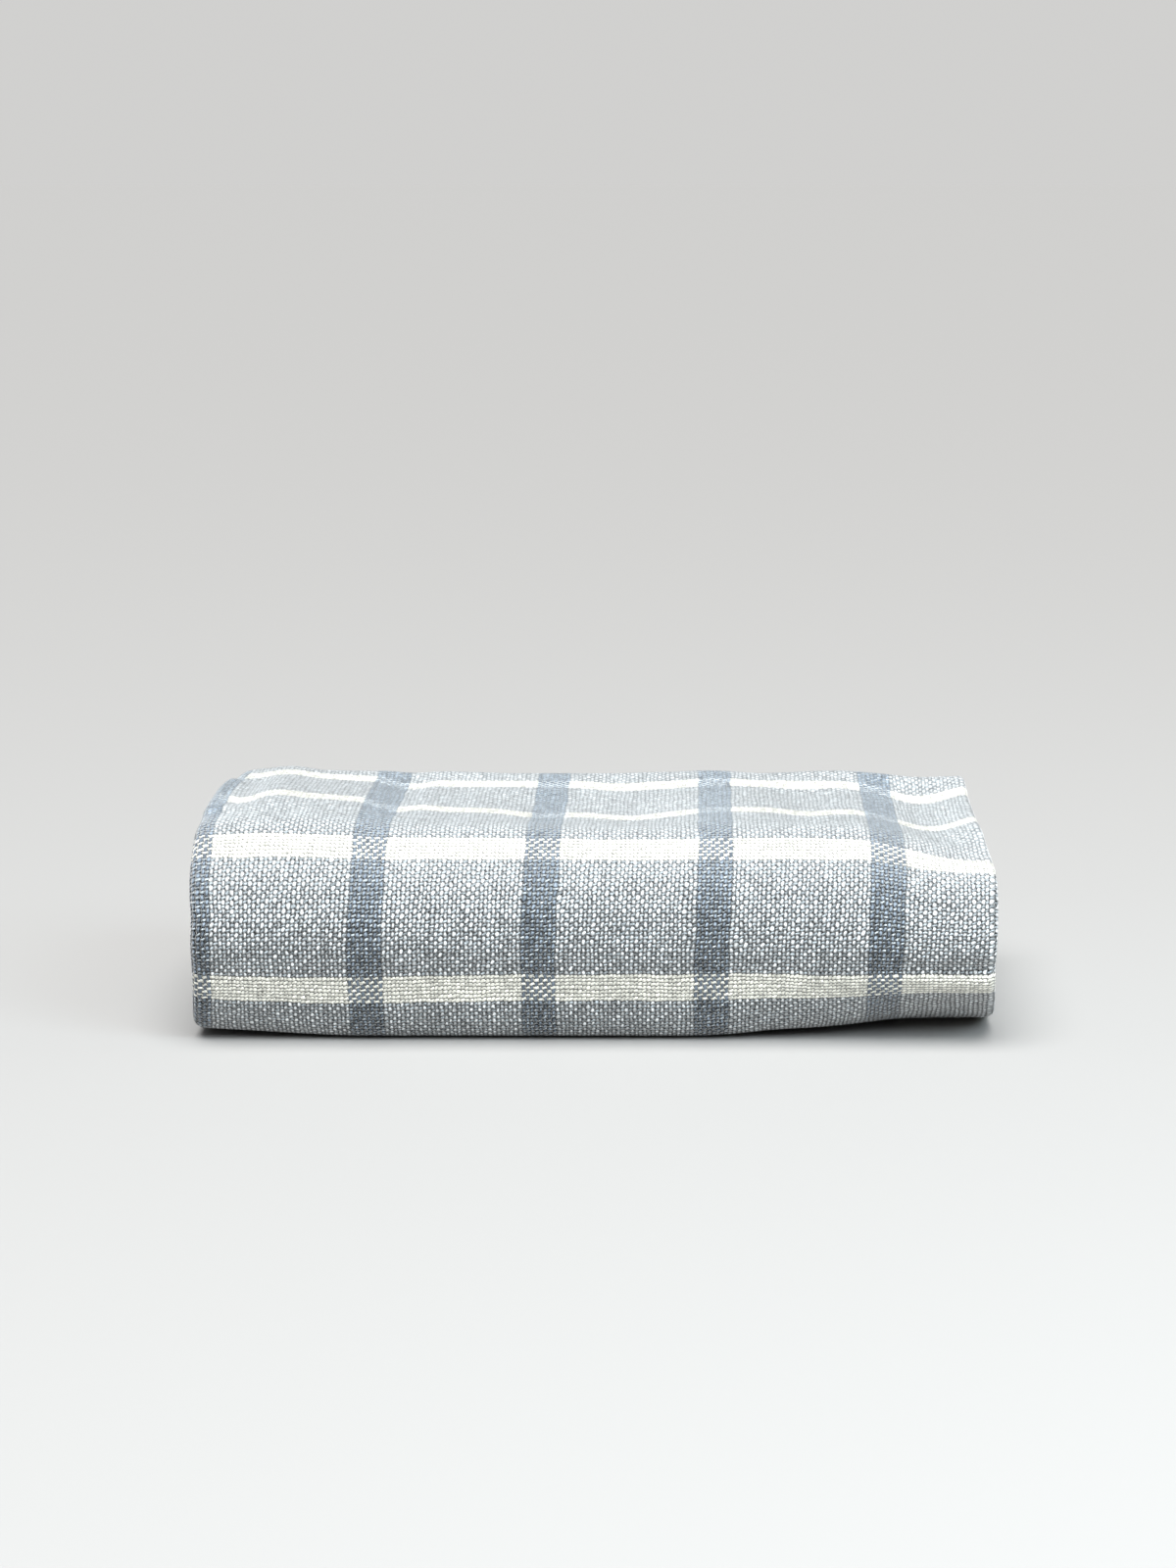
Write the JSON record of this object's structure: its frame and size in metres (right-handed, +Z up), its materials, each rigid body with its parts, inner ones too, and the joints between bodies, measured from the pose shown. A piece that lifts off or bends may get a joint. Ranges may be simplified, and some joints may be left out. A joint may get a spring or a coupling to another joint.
{
  "type": "folded tea towel",
  "caption": "Coarse plain-woven checked kitchen towel, folded in thirds and in half into a neat flat pile with a rounded front fold.",
  "frame": {"origin": "on the surface that the towel rests on, under the middle of the folded pile", "axes": "+Z up, +X along the rounded front fold, -Y the way that the rounded front fold faces"},
  "size_m": [0.1696, 0.0962, 0.0476],
  "materials": {
    "woven_cloth": "matt coarse plain weave of white, grey, slate blue and cream cotton yarn"
  },
  "bodies": {
    "root": {"towel": "woven_cloth"}
  },
  "joints": []
}
